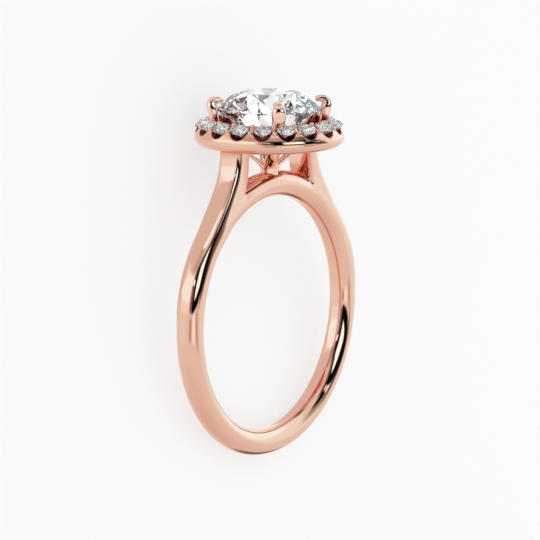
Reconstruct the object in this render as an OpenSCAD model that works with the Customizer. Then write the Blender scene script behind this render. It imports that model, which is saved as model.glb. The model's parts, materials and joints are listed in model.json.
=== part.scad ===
// Halo engagement ring, lying on its side as it rests by itself.
// The ring is built upright first: x along the finger, y across, z up to the head,
// with the centre of the finger hole at 0. lay_down() then tips it on its side.

/* [Band] */
// Inside diameter of the band, the finger size
finger_d = 16.5; // [15:0.1:19]
// Width of the band along the finger
band_w = 1.82; // [1.7:0.01:2.1]
// Thickness of the band from the finger outwards
band_t = 1.78; // [1.7:0.01:1.95]
// Width of the flat that touches the finger
band_flat = 0.66; // [0.5:0.02:0.9]

/* [Halo] */
// Inside radius of the halo rim
halo_in_r = 3.92; // [3.85:0.01:4.0]
// Outside radius of the halo rim
halo_out_r = 5.19; // [5.1:0.01:5.3]
// Height of the rim's upper inner edge above the finger centre
halo_top_z = 13.66; // [13.55:0.01:13.75]
// Drop of the sloping top from its inner to its outer edge
halo_slope = 0.42; // [0.4:0.02:0.7]
// Height where the rim is widest
halo_mid_z = 12.4; // [12.3:0.02:12.5]
// Height of the rim's underside
halo_low_z = 11.76; // [11.7:0.02:11.9]
// Number of small stones round the rim
halo_stones = 18; // [18:2:18]
// Radius of one stone seat
seat_r = 0.61; // [0.55:0.01:0.63]

/* [Centre stone] */
// Girdle diameter of the centre stone
stone_d = 7.2; // [7.0:0.02:7.22]
// Height of the girdle above the finger centre
girdle_z = 14.37; // [14.3:0.01:14.4]
// Table width as a part of the diameter
stone_table = 0.56; // [0.53:0.01:0.6]
// Crown height as a part of the diameter
stone_crown = 0.15; // [0.14:0.005:0.155]
// Pavilion depth as a part of the diameter
stone_pavilion = 0.431; // [0.42:0.001:0.44]
// Girdle thickness as a part of the diameter
stone_girdle = 0.024; // [0.02:0.002:0.03]

/* [Hidden] */
gold = [0.87, 0.64, 0.54];
ice = [0.93, 0.96, 0.99];
finger_r = finger_d / 2;

// ---- band section: an ellipse cut by the finger hole, [radius, along finger]
flat_k = sqrt(1 - pow(band_flat / band_w, 2));
band_br = band_t / (1 + flat_k);
band_rc = finger_r + band_br * flat_k;
cut_v = acos(-flat_k);
function band_section(n = 40) = [for (i = [0 : n]) let (v = cut_v * (2 * i / n - 1))
    [i == 0 || i == n ? finger_r : band_rc + band_br * cos(v), band_w / 2 * sin(v)]];

// ---- shoulder: centre line in the y-z plane
// columns: y, z, half thickness, half width along the finger, squareness
ARM = [
  [9.16, -1.00, 0.78, 0.84, 2.0],
  [9.22,  0.50, 0.80, 0.88, 2.0],
  [9.08,  2.00, 0.82, 0.90, 2.1],
  [8.60,  3.50, 0.84, 0.90, 2.3],
  [7.76,  5.00, 0.83, 0.90, 2.7],
  [6.58,  6.50, 0.80, 0.90, 3.3],
  [5.43,  8.00, 0.79, 0.89, 4.2],
  [4.65,  9.20, 0.81, 0.87, 4.6],
  [4.27, 10.20, 0.74, 0.86, 4.8],
  [4.12, 11.10, 0.69, 0.85, 4.9],
  [4.09, 12.20, 0.67, 0.85, 4.9]];

// ---- leg and prong in one: centre line in a plane through the head's axis
// columns: radius, z, half thickness, half width, squareness
LEG = [
  [0.28,  9.55, 0.30, 0.46, 3.0],
  [0.34, 10.05, 0.28, 0.48, 3.0],
  [0.52, 10.42, 0.21, 0.50, 3.0],
  [0.90, 10.78, 0.17, 0.50, 3.2],
  [1.36, 11.14, 0.17, 0.49, 3.2],
  [2.00, 11.63, 0.17, 0.47, 3.2],
  [2.70, 12.16, 0.18, 0.46, 3.2],
  [3.28, 12.62, 0.23, 0.44, 3.2],
  [3.64, 13.00, 0.29, 0.42, 3.0],
  [3.77, 13.40, 0.33, 0.42, 3.0],
  [3.85, 13.80, 0.34, 0.45, 3.2],
  [3.94, 14.20, 0.35, 0.47, 3.3],
  [4.02, 14.56, 0.36, 0.47, 3.2],
  [3.98, 14.80, 0.34, 0.47, 3.0],
  [3.76, 14.98, 0.29, 0.45, 2.7],
  [3.49, 15.02, 0.25, 0.41, 2.5],
  [3.25, 14.97, 0.20, 0.33, 2.3]];

// ---- helpers: smooth a table, and sweep a rounded section along it
function smooth(P, n) = let (m = len(P) - 1,
    Q = concat([2 * P[0] - P[1]], P, [2 * P[m] - P[m - 1]]))
    concat([for (i = [1 : m]) for (j = [0 : n - 1]) let (t = j / n)
        0.5 * (2 * Q[i] + (Q[i + 1] - Q[i - 1]) * t
        + (2 * Q[i - 1] - 5 * Q[i] + 4 * Q[i + 1] - Q[i + 2]) * t * t
        + (3 * Q[i] - Q[i - 1] - 3 * Q[i + 1] + Q[i + 2]) * t * t * t)], [P[m]]);
function rounded(w, h, p, n) = [for (i = [0 : n - 1])
    let (c = cos(360 * i / n), s = sin(360 * i / n))
    [w * sign(c) * pow(abs(c), 2 / p), h * sign(s) * pow(abs(s), 2 / p)]];
function ring_at(P, i, n) = let (m = len(P) - 1,
    a = P[max(i - 1, 0)], b = P[min(i + 1, m)],
    dx = b[0] - a[0], dy = b[1] - a[1], d = sqrt(dx * dx + dy * dy),
    nx = -dy / d, ny = dx / d)
    [for (q = rounded(P[i][3], P[i][2], P[i][4], n))
        [P[i][0] + nx * q[1], q[0], P[i][1] + ny * q[1]]];
function sweep_points(P, n) = [for (i = [0 : len(P) - 1]) for (q = ring_at(P, i, n)) q];
module sweep(P, n) {
    k = len(P);
    polyhedron(points = sweep_points(P, n), faces = concat(
        [[for (j = [0 : n - 1]) j]],
        [for (i = [0 : k - 2]) for (j = [0 : n - 1]) let (j2 = (j + 1) % n)
            [i * n + j, (i + 1) * n + j, (i + 1) * n + j2]],
        [for (i = [0 : k - 2]) for (j = [0 : n - 1]) let (j2 = (j + 1) % n)
            [i * n + j, (i + 1) * n + j2, i * n + j2]],
        [[for (j = [n - 1 : -1 : 0]) (k - 1) * n + j]]));
}

// ---- halo rim section, [radius, height]
bowl_r = 4.30;
function halo_section() = concat(
    [[halo_in_r, halo_low_z + 0.14], [halo_in_r + 0.12, halo_low_z]],
    [for (i = [0 : 7]) let (t = 90 * i / 8)
        [bowl_r + (halo_out_r - bowl_r) * pow(sin(t), 2 / 2.3),
         halo_mid_z - (halo_mid_z - halo_low_z) * pow(cos(t), 2 / 2.3)]],
    [[halo_out_r, halo_mid_z], [halo_out_r - 0.02, halo_mid_z + 0.3],
     [halo_out_r - 0.02, halo_top_z - halo_slope - 0.05],
     [halo_out_r - 0.09, halo_top_z - halo_slope],
     [halo_in_r + 0.06, halo_top_z], [halo_in_r, halo_top_z - 0.05]]);

// ---- round brilliant: rings of corners from the table down to the culet
stone_r = stone_d / 2;
half_g = stone_girdle * stone_d / 2;
table_r = stone_table * stone_r;
table_z = half_g + stone_crown * stone_d;
star_r = table_r + (stone_r - table_r) * 0.47;
star_z = half_g + (table_z - half_g) * 0.575;
low_r = stone_r * 0.25;
culet_z = -half_g - stone_pavilion * stone_d;
low_z = -half_g + (culet_z + half_g) * 0.74;
function circle_pts(r, z, n, a0) = [for (i = [0 : n - 1])
    [r * cos(a0 + 360 * i / n), r * sin(a0 + 360 * i / n), z]];
stone_pts = concat(circle_pts(table_r, table_z, 8, 0), circle_pts(star_r, star_z, 8, 22.5),
    circle_pts(stone_r, half_g, 16, 0), circle_pts(stone_r, -half_g, 16, 0),
    circle_pts(low_r, low_z, 8, 22.5), [[0, 0, culet_z]]);
stone_faces = concat([[for (i = [7 : -1 : 0]) i]],
    [for (i = [0 : 7]) let (j = (i + 1) % 8) each [
        [i, j, 8 + i],
        [8 + i, j, 16 + (2 * i + 2) % 16], [j, 8 + j, 16 + (2 * i + 2) % 16],
        [8 + i, 16 + 2 * i + 1, 16 + 2 * i], [8 + i, 16 + (2 * i + 2) % 16, 16 + 2 * i + 1],
        [48 + i, 32 + 2 * i, 32 + 2 * i + 1], [48 + i, 32 + 2 * i + 1, 32 + (2 * i + 2) % 16],
        [48 + i, 32 + (2 * i + 2) % 16, 56], [48 + j, 56, 32 + (2 * i + 2) % 16]]],
    [for (i = [0 : 15]) let (j = (i + 1) % 16) each [
        [16 + i, 16 + j, 32 + j], [16 + i, 32 + j, 32 + i]]]);

// ---- how it lies: it rests on the halo's edge and on the far side of the band
band_low = [for (q = band_section()) [-q[0], -abs(q[1])]];
halo_low = [for (q = halo_section()) [q[1], -q[0]]];
function lowest(P, a) = min([for (q = P) q[0] * sin(a) + q[1] * cos(a)]);
function level(lo, hi, k) = let (m = (lo + hi) / 2)
    k == 0 ? m : lowest(halo_low, m) > lowest(band_low, m) ? level(lo, m, k - 1) : level(m, hi, k - 1);
tilt = level(4, 25, 40);
rest_z = -lowest(band_low, tilt);
prong_far = max([for (q = sweep_points(smooth(LEG, 2), 12))
    q[2] * cos(tilt) + (q[0] + abs(q[1])) * sqrt(0.5) * sin(tilt)]);
stone_far = max([for (q = stone_pts) (q[2] + girdle_z) * cos(tilt) - q[0] * sin(tilt)]);
far_y = max(prong_far, stone_far);
near_y = min([for (q = band_section()) -q[0] * cos(tilt) - abs(q[1]) * sin(tilt)]);
mid_y = (far_y + near_y) / 2;

module lay_down() {
    translate([0, -mid_y, rest_z]) rotate([tilt, 0, 0]) rotate([-90, -90, 0]) children();
}

// ---- pieces
module band() {
    rotate([0, 90, 0]) rotate_extrude($fn = 180) polygon(band_section());
}
module shoulder() {
    // table is in y-z: the sweep's first axis becomes y and its second the finger
    rotate([0, 0, 90]) sweep(smooth(ARM, 2), 20);
}
module leg_and_prong() {
    sweep(smooth(LEG, 2), 12);
}
module seat() {
    translate([4.12, 0, 13.42]) rotate([0, 90, 0]) cylinder(r = seat_r, h = 1.6, $fn = 48);
}
module halo_rim() {
    difference() {
        rotate_extrude($fn = 180) polygon(halo_section());
        for (i = [0 : halo_stones - 1]) rotate([0, 0, i * 360 / halo_stones]) seat();
    }
}
module ring_metal() {
    color(gold) lay_down() union() {
        band();
        shoulder();
        mirror([0, 1, 0]) shoulder();
        halo_rim();
        for (i = [0 : 3]) rotate([0, 0, 45 + 90 * i]) leg_and_prong();
    }
}
module centre_stone() {
    color(ice) lay_down() translate([0, 0, girdle_z]) polyhedron(points = stone_pts, faces = stone_faces);
}
ring_metal();
centre_stone();
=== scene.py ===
import json
from math import radians, degrees, sin, cos, tan, pi

import bpy
import numpy as np
from mathutils import Matrix, Vector


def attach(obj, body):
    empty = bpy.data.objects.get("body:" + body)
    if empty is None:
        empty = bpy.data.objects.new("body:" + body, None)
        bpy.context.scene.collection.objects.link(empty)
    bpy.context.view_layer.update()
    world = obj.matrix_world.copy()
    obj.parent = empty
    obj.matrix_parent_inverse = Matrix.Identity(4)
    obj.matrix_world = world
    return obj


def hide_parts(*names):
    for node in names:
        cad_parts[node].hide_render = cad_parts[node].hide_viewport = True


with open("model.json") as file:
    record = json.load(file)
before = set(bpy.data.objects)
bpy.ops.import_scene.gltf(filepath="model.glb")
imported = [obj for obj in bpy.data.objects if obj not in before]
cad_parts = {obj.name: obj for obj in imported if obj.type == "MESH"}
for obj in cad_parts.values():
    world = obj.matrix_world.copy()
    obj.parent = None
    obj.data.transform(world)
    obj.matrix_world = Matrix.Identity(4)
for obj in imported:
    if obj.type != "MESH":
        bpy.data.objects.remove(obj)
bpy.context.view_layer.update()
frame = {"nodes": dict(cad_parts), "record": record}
scene = bpy.context.scene

# ---------------------------------------------------------------- the ring's own frame
# The ring is described upright, in millimetres: A along the finger, B across, U up to
# the head, with 0 at the centre of the finger hole. The record's mount says where that
# centre lies and which way A points once the ring is on its side.
HOLE = next(m for m in frame["record"]["mounts"] if m["name"] == "finger_hole")
CENTRE = np.array(HOLE["pos_m"], float)
AX_A = np.array(HOLE["axis"], float)
AX_A /= np.linalg.norm(AX_A)
AX_B = np.array([1.0, 0.0, 0.0])
AX_U = np.cross(AX_A, AX_B)


def to_row(P):
    P = np.asarray(P, float)
    return CENTRE + 0.001 * (P[:, :1] * AX_A + P[:, 1:2] * AX_B + P[:, 2:3] * AX_U)


def dir_row(P):
    P = np.asarray(P, float)
    return P[:, :1] * AX_A + P[:, 1:2] * AX_B + P[:, 2:3] * AX_U


# ---------------------------------------------------------------- camera
def make_camera():
    th, ph, roll = radians(54.32), radians(11.00), radians(0.11)
    yaw, pitch, dist, focal_px = radians(0.02), radians(0.79), 216.0, 3091.4
    c = np.array([cos(ph) * cos(th), -cos(ph) * sin(th), sin(ph)])
    unit = lambda v: v / np.linalg.norm(v)
    fw = -c
    r = unit(np.cross(fw, [0, 0, 1.0]))
    u = np.cross(r, fw)
    fw2 = unit(fw + tan(yaw) * r + tan(pitch) * u)
    r2 = unit(np.cross(fw2, u))
    u2 = np.cross(r2, fw2)
    r3 = cos(roll) * r2 + sin(roll) * u2
    u3 = -sin(roll) * r2 + cos(roll) * u2
    place = to_row([dist * c])[0]
    right, up, back = dir_row([r3, u3, -fw2])
    data = bpy.data.cameras.new("camera")
    data.sensor_width = 36.0
    data.sensor_fit = "HORIZONTAL"
    data.lens = focal_px / 540.0 * 36.0
    data.clip_start, data.clip_end = 0.001, 20.0
    cam = bpy.data.objects.new("camera", data)
    scene.collection.objects.link(cam)
    m = Matrix.Identity(4)
    for i in range(3):
        m[i][0], m[i][1], m[i][2], m[i][3] = right[i], up[i], back[i], place[i]
    cam.matrix_world = m
    scene.camera = cam


make_camera()

# ---------------------------------------------------------------- metal as one smooth surface
# Each piece of metal is the zero level of a distance-like function, so that shoulders,
# rim, legs and grains flow into each other as on a cast and polished ring.
FINGER_R, BAND_W, BAND_T, BAND_FLAT = 8.25, 1.82, 1.78, 0.66
FLAT_K = np.sqrt(1 - (BAND_FLAT / BAND_W) ** 2)
BAND_BR = BAND_T / (1 + FLAT_K)
BAND_RC = FINGER_R + BAND_BR * FLAT_K
STONES = 18

# shoulder centre line: y, z, half thickness, half width, squareness
ARM = np.array([
    [9.16, -1.00, 0.78, 0.84, 2.0],
    [9.22, 0.50, 0.80, 0.88, 2.0],
    [9.08, 2.00, 0.82, 0.90, 2.1],
    [8.60, 3.50, 0.84, 0.90, 2.3],
    [7.76, 5.00, 0.83, 0.90, 2.7],
    [6.58, 6.50, 0.80, 0.90, 3.3],
    [5.43, 8.00, 0.79, 0.89, 4.2],
    [4.65, 9.20, 0.81, 0.87, 4.6],
    [4.27, 10.20, 0.74, 0.86, 4.8],
    [4.12, 11.10, 0.69, 0.85, 4.9],
    [4.09, 12.20, 0.67, 0.85, 4.9]])

# leg and prong centre line: radius, z, half thickness, half width, squareness
LEG = np.array([
    [0.28, 9.55, 0.30, 0.46, 3.0],
    [0.34, 10.05, 0.28, 0.48, 3.0],
    [0.52, 10.42, 0.21, 0.50, 3.0],
    [0.90, 10.78, 0.17, 0.50, 3.2],
    [1.36, 11.14, 0.17, 0.49, 3.2],
    [2.00, 11.63, 0.17, 0.47, 3.2],
    [2.70, 12.16, 0.18, 0.46, 3.2],
    [3.28, 12.62, 0.23, 0.44, 3.2],
    [3.64, 13.00, 0.29, 0.42, 3.0],
    [3.77, 13.40, 0.33, 0.42, 3.0],
    [3.85, 13.80, 0.34, 0.45, 3.2],
    [3.94, 14.20, 0.35, 0.47, 3.3],
    [4.01, 14.50, 0.36, 0.47, 3.2],
    [4.04, 14.72, 0.34, 0.44, 2.9],
    [3.92, 14.93, 0.30, 0.38, 2.6],
    [3.68, 15.02, 0.26, 0.34, 2.5],
    [3.45, 15.02, 0.23, 0.31, 2.4],
    [3.24, 14.96, 0.19, 0.26, 2.3],
])


def smin(a, b, k):
    h = np.clip(0.5 + 0.5 * (b - a) / k, 0, 1)
    return b + (a - b) * h - k * h * (1 - h)


def smax(a, b, k):
    return -smin(-a, -b, k)


def superell(x, y, a, b, p):
    """Roughly the distance to the outline |x/a|^p + |y/b|^p = 1."""
    x = np.abs(x) / a
    y = np.abs(y) / b
    s = x ** p + y ** p + 1e-12
    gx = (x + 1e-9) ** (p - 1) / a
    gy = (y + 1e-9) ** (p - 1) / b
    g = np.sqrt(gx * gx + gy * gy) * s ** (1 / p - 1)
    return (s ** (1 / p) - 1) / np.maximum(g, 0.2)


def smooth_rows(P, n):
    Q = np.vstack([2 * P[0] - P[1], P, 2 * P[-1] - P[-2]])
    out = []
    for i in range(1, len(Q) - 2):
        for j in range(n):
            t = j / n
            a, b, c, d = Q[i - 1], Q[i], Q[i + 1], Q[i + 2]
            out.append(0.5 * (2 * b + (c - a) * t + (2 * a - 5 * b + 4 * c - d) * t * t
                              + (3 * b - a - 3 * c + d) * t ** 3))
    out.append(P[-1])
    return np.array(out)


def along(x, y, C):
    """Signed offset from the centre line C, the line's own columns there, and how far past its ends."""
    n = len(C) - 1
    best = np.full(x.shape, 1e9)
    off = np.zeros(x.shape)
    cols = [np.zeros(x.shape) for _ in range(C.shape[1] - 2)]
    end = np.full(x.shape, -1e9)
    for i in range(n):
        p, q = C[i, :2], C[i + 1, :2]
        d = q - p
        L = np.hypot(*d)
        d = d / L
        px, py = x - p[0], y - p[1]
        s = px * d[0] + py * d[1]
        sc = np.clip(s, 0, L)
        dd = (px - sc * d[0]) ** 2 + (py - sc * d[1]) ** 2
        m = dd < best
        best = np.where(m, dd, best)
        off = np.where(m, px * (-d[1]) + py * d[0], off)
        f = sc / L
        for k in range(len(cols)):
            cols[k] = np.where(m, C[i, k + 2] * (1 - f) + C[i + 1, k + 2] * f, cols[k])
        if i == 0 or i == n - 1:
            e = np.full(x.shape, -1e3)
            if i == 0:
                e = np.maximum(e, -s)
            if i == n - 1:
                e = np.maximum(e, s - L)
            end = np.where(m, e, end)
        else:
            end = np.where(m, -1e3, end)
    return np.sign(off) * np.sqrt(best), cols, end


ARM_LINE = smooth_rows(ARM, 10)
LEG_LINE = smooth_rows(LEG, 8)


def band_field(A, B, U):
    rho = np.sqrt(B * B + U * U)
    return smax(superell(A, rho - BAND_RC, BAND_W / 2, BAND_BR, 2.0), FINGER_R - rho, 0.02)


def arm_field(A, B, U):
    off, (h, w, p), end = along(np.abs(B), U, ARM_LINE)
    # the edges on the inner side are left crisp
    p = np.where(off > 0, p + 8 * np.clip((p - 3.0) / 1.6, 0, 1), p)
    return smax(superell(A, off, w, h, p), end, 0.05)


def shank_field(A, B, U):
    # the shoulder leaves the band tangentially, so the blend only opens up near the head
    k = 0.02 + 0.16 * np.clip((U - 5.5) / 4.0, 0, 1)
    d = smin(band_field(A, B, U), arm_field(A, B, U), k)
    rho = np.sqrt(B * B + U * U)
    return smax(d, FINGER_R - rho, 0.02)


HALO_IN, HALO_OUT, HALO_TOP, HALO_EDGE, HALO_LOW, HALO_MID = 3.92, 5.19, 13.68, 13.08, 11.76, 12.40
BOWL_R, HALO_CREASE, WALL_LEAN = 4.30, 12.62, radians(26)
SEAT_R, SEAT_Z = 4.55, 13.41


def halo_profile(r, z):
    sl = (HALO_TOP - HALO_EDGE) / (5.05 - HALO_IN)
    top = ((z - HALO_TOP) + sl * (r - HALO_IN)) / np.hypot(1, sl)
    side = superell(np.maximum(r - BOWL_R, 0), np.minimum(z - HALO_MID, 0),
                    HALO_OUT - BOWL_R, HALO_MID - HALO_LOW, 2.3)
    side = np.where(z > HALO_MID, r - HALO_OUT, side)
    side = np.where((r < BOWL_R) & (z < HALO_MID), HALO_LOW - z, side)
    # the wall leans in above its widest line
    lean = (r - HALO_OUT) * cos(WALL_LEAN) + (z - HALO_CREASE) * sin(WALL_LEAN)
    return smax(smax(smax(side, lean, 0.07), top, 0.10), HALO_IN - r, 0.10)


def seat_angle(A, B):
    step = 2 * pi / STONES
    be = np.arctan2(np.abs(B), np.abs(A))
    return be - np.round(be / step) * step


def seat_field(A, B, U):
    """A rounded pocket, open outwards and a little deeper than wide."""
    r, ph = np.hypot(A, B), seat_angle(A, B)
    x, t = r * np.cos(ph), r * np.sin(ph)
    return np.sqrt(t * t + (0.95 * np.minimum(U - SEAT_Z, 0)) ** 2 + np.minimum(x - SEAT_R, 0) ** 2) - 0.625


def halo_field(A, B, U):
    r = np.hypot(A, B)
    d = halo_profile(r, U)
    ph = seat_angle(A, B)
    d = smax(d, -seat_field(A, B, U), 0.05)
    # grains between the seats
    ph2 = np.abs(ph) - pi / STONES
    x2, t2 = r * np.cos(ph2), r * np.sin(ph2)
    for br, bz, bs in ((4.12, 13.60, 0.18), (4.86, 13.24, 0.17)):
        d = smin(d, np.sqrt((x2 - br) ** 2 + t2 ** 2 + (U - bz) ** 2) - bs, 0.04)
    return d


def leg_field(A, B, U):
    a, b, c = np.abs(A), np.abs(B), np.sqrt(0.5)
    off, (h, w, p), end = along((a + b) * c, U, LEG_LINE)
    return smax(superell((a - b) * c, off, w, h, p), end, 0.15)


def head_field(A, B, U):
    return smin(halo_field(A, B, U), leg_field(A, B, U), 0.08)


def grid_field(field, half, z0, z1, h):
    """Samples the field on a grid. The metal is the same on both sides of A = 0 and B = 0,
    so one quarter is worked out and mirrored."""
    na, nb = int(np.ceil(half[0] / h)), int(np.ceil(half[1] / h))
    nz = int(np.ceil((z1 - z0) / h)) + 1
    za = z0 + h * np.arange(nz)
    Q = np.empty((na + 1, nb + 1, nz), np.float32)
    for i in range(na + 1):
        B, U = np.meshgrid(h * np.arange(nb + 1), za, indexing="ij")
        Q[i] = field(np.full(B.shape, h * i), B, U)
    F = np.concatenate([Q[:0:-1], Q], 0)
    F = np.concatenate([F[:, :0:-1], F], 1)
    return F, np.array([-na * h, -nb * h, z0])


def surface_nets(F, lo, h):
    n = np.array(F.shape)
    S = F < 0
    c = [slice(0, -1), slice(1, None)]
    cnt = np.zeros(n - 1, np.int8)
    for i in (0, 1):
        for j in (0, 1):
            for k in (0, 1):
                cnt += S[c[i], c[j], c[k]]
    act = (cnt > 0) & (cnt < 8)
    ii = np.argwhere(act)
    idx = -np.ones(n - 1, np.int64)
    idx[act] = np.arange(len(ii))
    acc = np.zeros((len(ii), 3))
    num = np.zeros(len(ii))
    for axis in range(3):
        o = [a for a in range(3) if a != axis]
        for p in (0, 1):
            for q in (0, 1):
                a0 = ii.copy()
                a0[:, o[0]] += p
                a0[:, o[1]] += q
                a1 = a0.copy()
                a1[:, axis] += 1
                f0, f1 = F[tuple(a0.T)], F[tuple(a1.T)]
                m = (f0 < 0) != (f1 < 0)
                t = np.where(m, f0 / (f0 - f1 + 1e-30), 0)
                pt = a0.astype(float)
                pt[:, axis] += t
                acc[m] += pt[m]
                num[m] += 1
    V = acc / num[:, None] * h + lo
    quads = []
    for axis in range(3):
        o = [(axis + 1) % 3, (axis + 2) % 3]
        s0, s1 = [slice(1, -1)] * 3, [slice(1, -1)] * 3
        s0[axis], s1[axis] = slice(0, -1), slice(1, None)
        a, b = S[tuple(s0)], S[tuple(s1)]
        e = np.argwhere(a != b)
        inside = a[tuple(e.T)]
        base = e + 1
        base[:, axis] -= 1

        def cell(d0, d1):
            q = base.copy()
            q[:, o[0]] -= d0
            q[:, o[1]] -= d1
            return idx[tuple(q.T)]

        q = np.stack([cell(1, 1), cell(0, 1), cell(0, 0), cell(1, 0)], 1)
        q[~inside] = q[~inside][:, ::-1]
        quads.append(q)
    return V, np.vstack(quads)


def gradient(field, V, e):
    g = np.empty_like(V)
    for i in range(3):
        d = np.zeros(3)
        d[i] = e
        a, b = V + d, V - d
        g[:, i] = (field(a[:, 0], a[:, 1], a[:, 2]) - field(b[:, 0], b[:, 1], b[:, 2])) / (2 * e)
    return g


def settle(field, V, steps=3):
    """Moves the corners onto the surface, and gives the surface's own normals there."""
    for _ in range(steps):
        f = field(V[:, 0], V[:, 1], V[:, 2])
        g = gradient(field, V, 1e-3)
        V = V - np.clip(f / np.maximum((g * g).sum(1), 0.1), -0.05, 0.05)[:, None] * g
    g = gradient(field, V, 4e-3)
    return V, g / np.maximum(np.linalg.norm(g, axis=1), 1e-9)[:, None]


def even_normals(N, Q, rounds):
    """Evens out the normals along the surface, but not across an edge."""
    E = np.vstack([Q[:, [i, (i + 1) % 4]] for i in range(4)])
    for _ in range(rounds):
        w = np.maximum((N[E[:, 0]] * N[E[:, 1]]).sum(1), 0) ** 12
        M = N.copy()
        for i in range(3):
            M[:, i] += np.bincount(E[:, 0], w * N[E[:, 1], i], len(N)) + np.bincount(E[:, 1], w * N[E[:, 0], i], len(N))
        N = M / np.maximum(np.linalg.norm(M, axis=1), 1e-9)[:, None]
    return N


def add_mesh(name, V, faces, normals=None, smooth=True):
    me = bpy.data.meshes.new(name)
    me.from_pydata(to_row(V).tolist(), [], [list(map(int, f)) for f in faces])
    me.update()
    if smooth:
        me.polygons.foreach_set("use_smooth", [True] * len(me.polygons))
    if normals is not None:
        me.normals_split_custom_set_from_vertices(dir_row(normals).tolist())
    me.validate()
    obj = bpy.data.objects.new(name, me)
    scene.collection.objects.link(obj)
    return obj


def metal_piece(name, field, half, z0, z1, h, painted_light, rounds):
    F, lo = grid_field(field, half, z0, z1, h)
    V, Q = surface_nets(F, lo, h)
    V, N = settle(field, V)
    obj = add_mesh(name, V, Q, even_normals(N, Q, rounds))
    # each corner carries a value of painted light for the base colour: painted shade and painted reflection above zero,
    # painted highlight below zero
    at = obj.data.attributes.new("painted_light", "FLOAT", "POINT")
    at.data.foreach_set("value", painted_light(V[:, 0], V[:, 1], V[:, 2]).astype(np.float32))
    return obj


def fade(v, a, b):
    return np.clip((v - a) / (b - a), 0, 1)


def shank_painted_light(A, B, U):
    """Painted reflection and painted shade in the gold's base colour: the corners of the gallery, where gold mirrors
    gold, and the line round the finger hole, with a painted lens-shaped mirror image low on one side of it. Below zero
    is a painted highlight on the upper inner face of one shoulder."""
    rho = np.hypot(B, U)
    bridge = fade((rho - BAND_RC) / BAND_BR, 0.35, 0.75) * fade(U, 8.6, 9.2) * fade(np.abs(B), 4.3, 3.7)
    line = fade(np.abs(A - 0.36), 0.09, 0.03) * fade(rho, 8.33, 8.28)
    mid = fade(-U, 4.8, 5.9) * fade(-U, 7.3, 6.2) * (B > 0) * fade(rho, 8.56, 8.48)
    lens = mid ** 0.3 * fade(A, 0.41 + 0.19 * mid, 0.35 + 0.19 * mid) * fade(A, 0.27, 0.33)
    reach = 0.86 - 0.75 * fade(U, 11.7, 10.2)
    inner = fade(np.abs(B), 3.60, 3.50) * fade(U, 9.9, 10.2) * (B > 0)
    corner = fade(A, reach - 0.05, reach + 0.05)
    under = fade(U, 11.60, 11.80)
    return (np.maximum(np.maximum(0.30 * bridge, np.maximum(0.45 * line, 0.55 * lens)), np.maximum(0.5 * inner * corner, 0.35 * under))
            - 0.5 * inner * (1 - corner) * (1 - under))


def head_painted_light(A, B, U):
    """Painted shade in the corners of the head: the seats of the small stones, the rim's inner wall under the large
    stone and the foot of each claw. Below zero is a painted highlight, on the claws and the legs."""
    r = np.hypot(A, B)
    seat = fade(np.abs(seat_field(A, B, U)), 0.07, 0.03) * fade(U, 13.95, 13.80)
    wall = fade(r, 4.06, 3.98) * fade(r, 3.70, 3.85) * fade(U, 12.0, 12.4) * fade(U, 13.75, 13.60)
    claw = fade(np.abs(leg_field(A, B, U)), 0.07, 0.03) * fade(U, 12.9, 13.2) * fade(U, 13.75, 13.50)
    legs = fade(U, 11.9, 11.6) * fade(r, 3.4, 3.0)
    return np.maximum(np.maximum(seat, 0.9 * wall), 0.65 * claw) - 0.38 * fade(U, 13.75, 14.0) - 0.4 * legs


step_shank, step_head = ((0.085, 0.058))
shank = metal_piece("ring_shank", shank_field, (1.2, 10.4), -10.4, 12.6, step_shank, shank_painted_light, 6)
head = metal_piece("ring_head", head_field, (5.5, 5.5), 9.2, 15.6, step_head, head_painted_light, 1)


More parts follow.
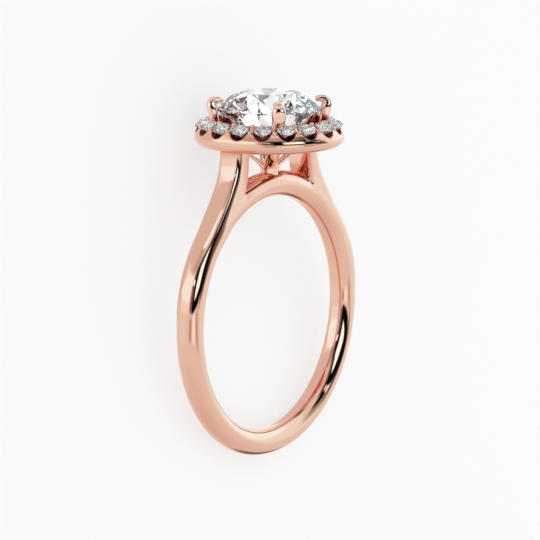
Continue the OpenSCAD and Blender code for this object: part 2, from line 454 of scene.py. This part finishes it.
# ---------------------------------------------------------------- stones
def brilliant(d, table=0.56, crown=0.15, pavilion=0.431, girdle=0.024, star=0.52, lower=0.76, sub=4):
    """A round brilliant whose every facet is flat: table, 8 stars, 8 kites, 16 upper halves,
    a faceted girdle, 16 lower halves and 8 mains. Its girdle lies in the plane z = 0."""
    R, zg = d / 2, girdle * d / 2
    rt, zt = table * R, zg + crown * d
    slope = (zt - zg) / (R - rt)
    c8 = cos(pi / 8)
    rs = rt * c8 + (R - rt * c8) * star
    zs = zg + slope * (R - rs * c8)
    zc = -zg - pavilion * d
    down = (pavilion * d) / R
    rl = R * (1 - lower)
    zl = -zg - down * (R - rl * c8)
    V, F = [], []

    def add(r, a, z):
        V.append((r * cos(a), r * sin(a), z))
        return len(V) - 1

    T = [add(rt, pi / 4 * i, zt) for i in range(8)]
    S = [add(rs, pi / 8 + pi / 4 * i, zs) for i in range(8)]
    L = [add(rl, pi / 8 + pi / 4 * i, zl) for i in range(8)]
    culet = add(0, 0, zc)
    n = 16 * sub

    def height(tip, a0, a1, z0, a):
        """Height at the girdle, at angle a, of the plane through a tip and two girdle corners."""
        P = np.array([V[tip], (R * cos(a0), R * sin(a0), z0), (R * cos(a1), R * sin(a1), z0)])
        nrm = np.cross(P[1] - P[0], P[2] - P[0])
        return P[0][2] - ((R * cos(a) - P[0][0]) * nrm[0] + (R * sin(a) - P[0][1]) * nrm[1]) / nrm[2]

    GU, GL = [], []
    for i in range(n):
        a = 2 * pi * i / n
        seg = i // sub
        a0, a1 = 2 * pi * seg / 16, 2 * pi * (seg + 1) / 16
        k = seg // 2
        GU.append(add(R, a, height(S[k], a0, a1, zg, a)))
        GL.append(add(R, a, height(L[k], a0, a1, -zg, a)))
    F.append(T)
    for k in range(8):
        j = (k + 1) % 8
        F.append([T[k], S[k], T[j]])
        F.append([T[j], S[k], GU[(2 * k + 2) * sub % n], S[j]])
        for s in (2 * k, 2 * k + 1):
            F.append([S[k]] + [GU[(s * sub + m) % n] for m in range(sub + 1)])
            F.append([L[k]] + [GL[(s * sub + m) % n] for m in range(sub, -1, -1)])
        F.append([culet, L[j], GL[(2 * k + 2) * sub % n], L[k]])
    for i in range(n):
        j = (i + 1) % n
        F.append([GU[i], GL[i], GL[j], GU[j]])
    return np.array(V), F


V, F = brilliant(7.2)
stone = add_mesh("centre_brilliant", V + [0, 0, 14.37], F, smooth=False)

V0, F0 = brilliant(1.27, table=0.56, crown=0.14, sub=1)
allV, allF = [], []
tip = radians(23)
for k in range(STONES):
    b = 2 * pi * k / STONES
    spin = 0.37 * k
    P = V0 @ np.array([[cos(spin), sin(spin), 0], [-sin(spin), cos(spin), 0], [0, 0, 1]])
    # lean outwards with the rim's top, then go round to the seat
    P = np.stack([P[:, 0] * cos(tip) + P[:, 2] * sin(tip), P[:, 1], -P[:, 0] * sin(tip) + P[:, 2] * cos(tip)], 1)
    P = P + [SEAT_R, 0, SEAT_Z]
    P = np.stack([P[:, 0] * cos(b) - P[:, 1] * sin(b), P[:, 0] * sin(b) + P[:, 1] * cos(b), P[:, 2]], 1)
    base = sum(len(v) for v in allV)
    allV.append(P)
    allF += [[base + i for i in f] for f in F0]
halo_stones = add_mesh("halo_brilliants", np.vstack(allV), allF, smooth=False)


# ---------------------------------------------------------------- materials
def new_material(name):
    m = bpy.data.materials.new(name)
    m.use_nodes = True
    nt = m.node_tree
    p = next(n for n in nt.nodes if n.type == "BSDF_PRINCIPLED")
    return m, nt, p


def noise(nt, scale, detail=2.0, rough=0.5):
    tc = nt.nodes.new("ShaderNodeTexCoord")
    n = nt.nodes.new("ShaderNodeTexNoise")
    n.inputs["Scale"].default_value = scale
    n.inputs["Detail"].default_value = detail
    n.inputs["Roughness"].default_value = rough
    nt.links.new(tc.outputs["Object"], n.inputs["Vector"])
    return n.outputs["Fac"]


def ranged(nt, fac, lo, hi, a, b):
    r = nt.nodes.new("ShaderNodeMapRange")
    r.inputs["From Min"].default_value, r.inputs["From Max"].default_value = lo, hi
    r.inputs["To Min"].default_value, r.inputs["To Max"].default_value = a, b
    nt.links.new(fac, r.inputs["Value"])
    return r.outputs["Result"]


def mixed(nt, fac, a, b):
    m = nt.nodes.new("ShaderNodeMix")
    m.data_type = "RGBA"
    for i, c in ((6, a), (7, b)):
        if isinstance(c, tuple):
            m.inputs[i].default_value = (*c, 1)
        else:
            nt.links.new(c, m.inputs[i])
    nt.links.new(fac, m.inputs[0])
    return m.outputs[2]


def rose_gold(name):
    m, nt, p = new_material(name)
    tone = noise(nt, 220, 3)
    unpainted_gold = mixed(nt, ranged(nt, tone, 0.3, 0.7, 0, 1), (0.860, 0.520, 0.388), (0.880, 0.540, 0.402))
    # the attribute read here paints light into the base colour: below zero a painted highlight, from zero to a half the
    # red of a painted reflection of gold in gold, from a half to one painted shade
    at = nt.nodes.new("ShaderNodeAttribute")
    at.attribute_name = "painted_light"
    bright = mixed(nt, ranged(nt, at.outputs["Fac"], -0.5, 0.0, 0, 1), (1.0, 0.68, 0.555), unpainted_gold)
    painted_reflection = mixed(nt, ranged(nt, at.outputs["Fac"], 0.0, 0.5, 0, 1), bright, (0.76, 0.21, 0.13))
    nt.links.new(mixed(nt, ranged(nt, at.outputs["Fac"], 0.5, 1.0, 0, 1), painted_reflection, (0.20, 0.035, 0.025)),
                 p.inputs["Base Color"])
    p.inputs["Metallic"].default_value = 1.0
    nt.links.new(ranged(nt, noise(nt, 900, 4), 0.3, 0.7, 0.018, 0.035), p.inputs["Roughness"])
    bump = nt.nodes.new("ShaderNodeBump")
    bump.inputs["Strength"].default_value = 0.03
    bump.inputs["Distance"].default_value = 0.00002
    nt.links.new(noise(nt, 6000, 3, 0.6), bump.inputs["Height"])
    nt.links.new(bump.outputs["Normal"], p.inputs["Normal"])
    return m


def clear_stone(name, low, high):
    m, nt, p = new_material(name)
    nt.links.new(mixed(nt, ranged(nt, noise(nt, 300, 2), 0.3, 0.7, 0, 1), low, high), p.inputs["Base Color"])
    p.inputs["Roughness"].default_value = 0.0
    p.inputs["IOR"].default_value = 2.417
    p.inputs["Transmission Weight"].default_value = 1.0
    p.inputs["Specular Tint"].default_value = (1.0, 0.80, 0.72, 1.0)
    return m


GOLD = rose_gold("rose_gold_polished")
CLEAR = clear_stone("stone_colourless", (0.995, 0.965, 0.95), (1.0, 0.98, 0.965))
# the small stones get a darker, greyer copy of the same clear stone: painted shade
SMALL = clear_stone("stone_small", (0.80, 0.75, 0.73), (0.93, 0.90, 0.89))
for o in (shank, head, frame["nodes"]["ring_metal"]):
    o.data.materials.clear()
    o.data.materials.append(GOLD)
for o, m in ((stone, CLEAR), (halo_stones, SMALL), (frame["nodes"]["centre_stone"], CLEAR)):
    o.data.materials.clear()
    o.data.materials.append(m)

for o in (shank, head):
    o.visible_transmission = False    # a bright stone sends light back before it shows what is behind it
for o in (shank, head, stone, halo_stones):
    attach(o, "root")
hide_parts("ring_metal")
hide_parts("ring_metal")
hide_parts("centre_stone")


# ---------------------------------------------------------------- studio
def make_floor():
    me = bpy.data.meshes.new("floor")
    s = 1.5
    me.from_pydata([(-s, -s, 0), (s, -s, 0), (s, s, 0), (-s, s, 0)], [], [(0, 1, 2, 3)])
    o = bpy.data.objects.new("floor", me)
    scene.collection.objects.link(o)
    m, nt, p = new_material("floor_pale")
    nt.links.new(mixed(nt, noise(nt, 40, 2), (0.305, 0.305, 0.305), (0.315, 0.315, 0.315)), p.inputs["Base Color"])
    p.inputs["Roughness"].default_value = 0.6
    p.inputs["Specular IOR Level"].default_value = 0.1
    # a light table: most of the floor's brightness is its own, which keeps shadows faint
    p.inputs["Emission Color"].default_value = (1, 1, 1, 1)
    p.inputs["Emission Strength"].default_value = 0.64
    me.materials.append(m)
    # the metal mirrors the tent on every side, below too, and so do the stones' facets
    o.visible_glossy = o.visible_transmission = False
    return o


make_floor()


def make_world():
    """A white tent round the ring, with one soft box in a black frame to the front, a bright
    wall to the right and a bright panel to the left. Directions are given in the upright ring's own frame, as an
    azimuth from A towards B and a height above the plane across the finger, in degrees."""
    w = bpy.data.worlds.new("studio")
    scene.world = w
    w.use_nodes = True
    w.cycles.sampling_method = "NONE"
    nt = w.node_tree
    nt.nodes.clear()
    out = nt.nodes.new("ShaderNodeOutputWorld")
    bg = nt.nodes.new("ShaderNodeBackground")
    nt.links.new(bg.outputs[0], out.inputs[0])
    tc = nt.nodes.new("ShaderNodeTexCoord")

    def math(op, *args):
        n = nt.nodes.new("ShaderNodeMath")
        n.operation = op
        for i, a in enumerate(args):
            if isinstance(a, (int, float)):
                n.inputs[i].default_value = a
            else:
                nt.links.new(a, n.inputs[i])
        return n.outputs[0]

    def dot(axis):
        n = nt.nodes.new("ShaderNodeVectorMath")
        n.operation = "DOT_PRODUCT"
        nt.links.new(tc.outputs["Generated"], n.inputs[0])
        n.inputs[1].default_value = tuple(axis)
        return n.outputs["Value"]

    def linear(ka, ke, k):
        return math("ADD", math("ADD", math("MULTIPLY", az, ka), math("MULTIPLY", el, ke)), k)

    def step(x, edge, soft):
        """0 below the edge, 1 above it, fading over twice soft; a negative soft turns it round."""
        n = nt.nodes.new("ShaderNodeMapRange")
        n.interpolation_type = "SMOOTHSTEP"
        nt.links.new(x, n.inputs["Value"])
        n.inputs["From Min"].default_value, n.inputs["From Max"].default_value = edge - soft, edge + soft
        return n.outputs["Result"]

    def both(*masks):
        m = masks[0]
        for other in masks[1:]:
            m = math("MULTIPLY", m, other)
        return m

    def patch(a0, sa0, a1, sa1, e0, se0, e1, se1):
        return both(step(az, a0, sa0), step(az, a1, -sa1), step(el, e0, se0), step(el, e1, -se1))

    def mix(a, b, fac):
        n = nt.nodes.new("ShaderNodeMix")
        n.data_type = "RGBA"
        nt.links.new(fac, n.inputs[0])
        for i, c in ((6, a), (7, b)):
            if isinstance(c, tuple):
                n.inputs[i].default_value = (*c, 1)
            else:
                nt.links.new(c, n.inputs[i])
        return n.outputs[2]

    az = math("MULTIPLY", math("ARCTAN2", dot(AX_B), dot(AX_A)), 180 / pi)
    el = math("MULTIPLY", math("ARCSINE", dot(AX_U)), 180 / pi)

    c = (0.89, 0.89, 0.89)
    # the tent darkens slowly towards its floor, which mirrors the front faintly
    c = mix(c, (0.85, 0.80, 0.80), step(el, -38, -12))
    c = mix(c, (0.79, 0.72, 0.73), step(el, -62, -14))
    c = mix(c, (1.12, 1.20, 1.22), patch(-36, 4, -8, 4, -15, 3, -7, 2))
    c = mix(c, (0.50, 0.45, 0.43), patch(-62, 6, -43, 3, -15, 3, -7, 2))
    c = mix(c, (0.55, 0.50, 0.48), patch(0, 3, 20, 4, -15, 3, -7, 2))
    # its top is greyer, with a dark flap to the right
    c = mix(c, (0.68, 0.62, 0.61), step(el, 66, 5))
    c = mix(c, (0.20, 0.16, 0.15), patch(40, 15, 125, 15, 61, 4, 73, 4))
    # right: a bright wall, and the paler ground round it
    c = mix(c, (0.98, 1.16, 1.24), patch(36, 7, 106, 8, -12, 10, 60, 8))
    c = mix(c, (1.10, 1.46, 1.70), patch(60, 4, 104, 6, -4, 4, 46, 6))
    c = mix(c, (0.22, 0.18, 0.16), patch(93, 10, 126, 8, -58, 6, -36, 5))
    # back
    c = mix(c, (0.81, 0.78, 0.78), patch(128, 6, 182, 1, -6, 6, 70, 4))
    c = mix(c, (1.08, 1.12, 1.13), patch(112, 6, 130, 3, -3, 5, 26, 5))
    # left: a shaded upper part, a bright panel under it and a strip over it
    c = mix(c, (0.80, 0.775, 0.78), patch(-182, 1, -104, 14, -1, 5, 66, 4))
    c = mix(c, (0.93, 0.99, 1.01), patch(-154, 12, -88, 10, -17, 6, -6, 4))
    c = mix(c, (0.62, 0.52, 0.50), patch(-108, 14, -70, 6, 36, 3, 56, 2))
    c = mix(c, (1.00, 1.12, 1.18), patch(-150, 8, -76, 6, -3, 3, 34, 3))
    c = mix(c, (1.07, 1.42, 1.62), both(step(linear(1, -1.14, 0), -167, 3), step(az, -78, -5),
                                        step(el, 9, 3), step(el, 33.5, -1.5)))
    c = mix(c, (1.25, 1.60, 1.80), patch(-104, 6, -27, 4, 56, 1.5, 61.5, 2))
    # front: a black frame that fades to the left and upwards and has a foot to the right
    c = mix(c, (0.20, 0.15, 0.13), patch(-68, 9, -40, 2, -2, 4, 36, 5))
    c = mix(c, (0.05, 0.038, 0.033), patch(-66, 9, 14, 4, 20, 2, 43, 9))
    c = mix(c, (0.05, 0.038, 0.033), patch(9, 3, 26, 4, 20, 2, 35, 5))
    c = mix(c, (0.36, 0.29, 0.27), both(step(az, 24, 3), step(el, -1, 2.5), step(el, 28, -4),
                                        step(linear(1, 0.3, 0), 42.5, -7)))
    c = mix(c, (0.30, 0.24, 0.22), both(step(az, 22, 4), step(linear(1, 1.1, 0), 40.3, -1.4),
                                        step(el, -8, 2), step(el, 1, -2)))
    c = mix(c, (0.02, 0.014, 0.011), both(step(az, 20, 2), step(linear(1, 1.1, 0), 35, -5),
                                          step(linear(0.2, 1, 0), 0.3, 1.6), step(el, 12, -4)))
    c = mix(c, (0.004, 0.004, 0.004), patch(-49, 4, 28, 1.5, -4.2, 1.3, 32, 2))
    c = mix(c, (1.3, 1.5, 1.6), both(step(az, -70, 3), step(az, -53, -2),
                                     step(linear(0.25, 1, 15), 22, 1), step(linear(0.25, 1, 15), 27, -1)))
    n = linear(22.5 / 29.4, 19 / 29.4, -(10 * 22.5 + 29 * 19) / 29.4)
    t = linear(19 / 29.4, -22.5 / 29.4, -(10 * 19 - 29 * 22.5) / 29.4)
    line = both(step(n, -1.4, 0.8), step(n, 1.4, -0.8), step(t, -0.5, 1.5), step(t, 29, -2))
    dip = math("SUBTRACT", 1.0, math("MULTIPLY", both(step(t, 9, 2), step(t, 17, -2)), 0.75))
    c = mix(c, (1.3, 1.5, 1.6), both(line, dip))
    # the soft box in the frame
    c = mix(c, (1.20, 1.72, 2.00), both(patch(-31.5, 3.5, 1.5, 3.5, 5.3, 0.9, 29.5, 1.5),
                                        step(linear(0.45, 1, 0), 25.5, -1.5)))
    # light that went through a stone is neutral; the floor is lit evenly
    sep = nt.nodes.new("ShaderNodeSeparateColor")
    nt.links.new(c, sep.inputs[0])
    grey = nt.nodes.new("ShaderNodeCombineColor")
    # small dark flags among the white, which the facets pick up
    wave = math("ADD", math("SINE", math("MULTIPLY", az, 10 * pi / 180)),
                math("SINE", math("ADD", math("MULTIPLY", el, 14 * pi / 180), 0.6)))
    level = math("MULTIPLY", math("MULTIPLY", sep.outputs[1], 1.24),
                 math("SUBTRACT", 1.0, math("MULTIPLY", step(wave, -1.15, -0.25), 0.8)))
    for ka, ke, k in ((21, 15, 0.3), (12, -22, 1.1), (9, 31, 0.5)):
        thin = math("ABSOLUTE", math("SINE", math("MULTIPLY", linear(ka / 2, ke / 2, 57 * k), pi / 180)))
        level = math("MULTIPLY", level, math("SUBTRACT", 1.0, math("MULTIPLY", step(thin, 0.15, -0.07), 0.85)))
    for i in range(3):
        nt.links.new(level, grey.inputs[i])
    for ray, value in (("Is Transmission Ray", grey.outputs[0]), ("Is Diffuse Ray", (1.0, 1.0, 1.0)),
                       ("Is Camera Ray", (0.956, 0.956, 0.956))):
        lp = nt.nodes.new("ShaderNodeLightPath")
        c = mix(c, value, lp.outputs[ray])
    nt.links.new(c, bg.inputs[0])
    bg.inputs[1].default_value = 1.0


make_world()

scene.view_settings.view_transform = "Standard"
scene.cycles.max_bounces = 20
scene.cycles.transmission_bounces = 20
scene.cycles.glossy_bounces = 8
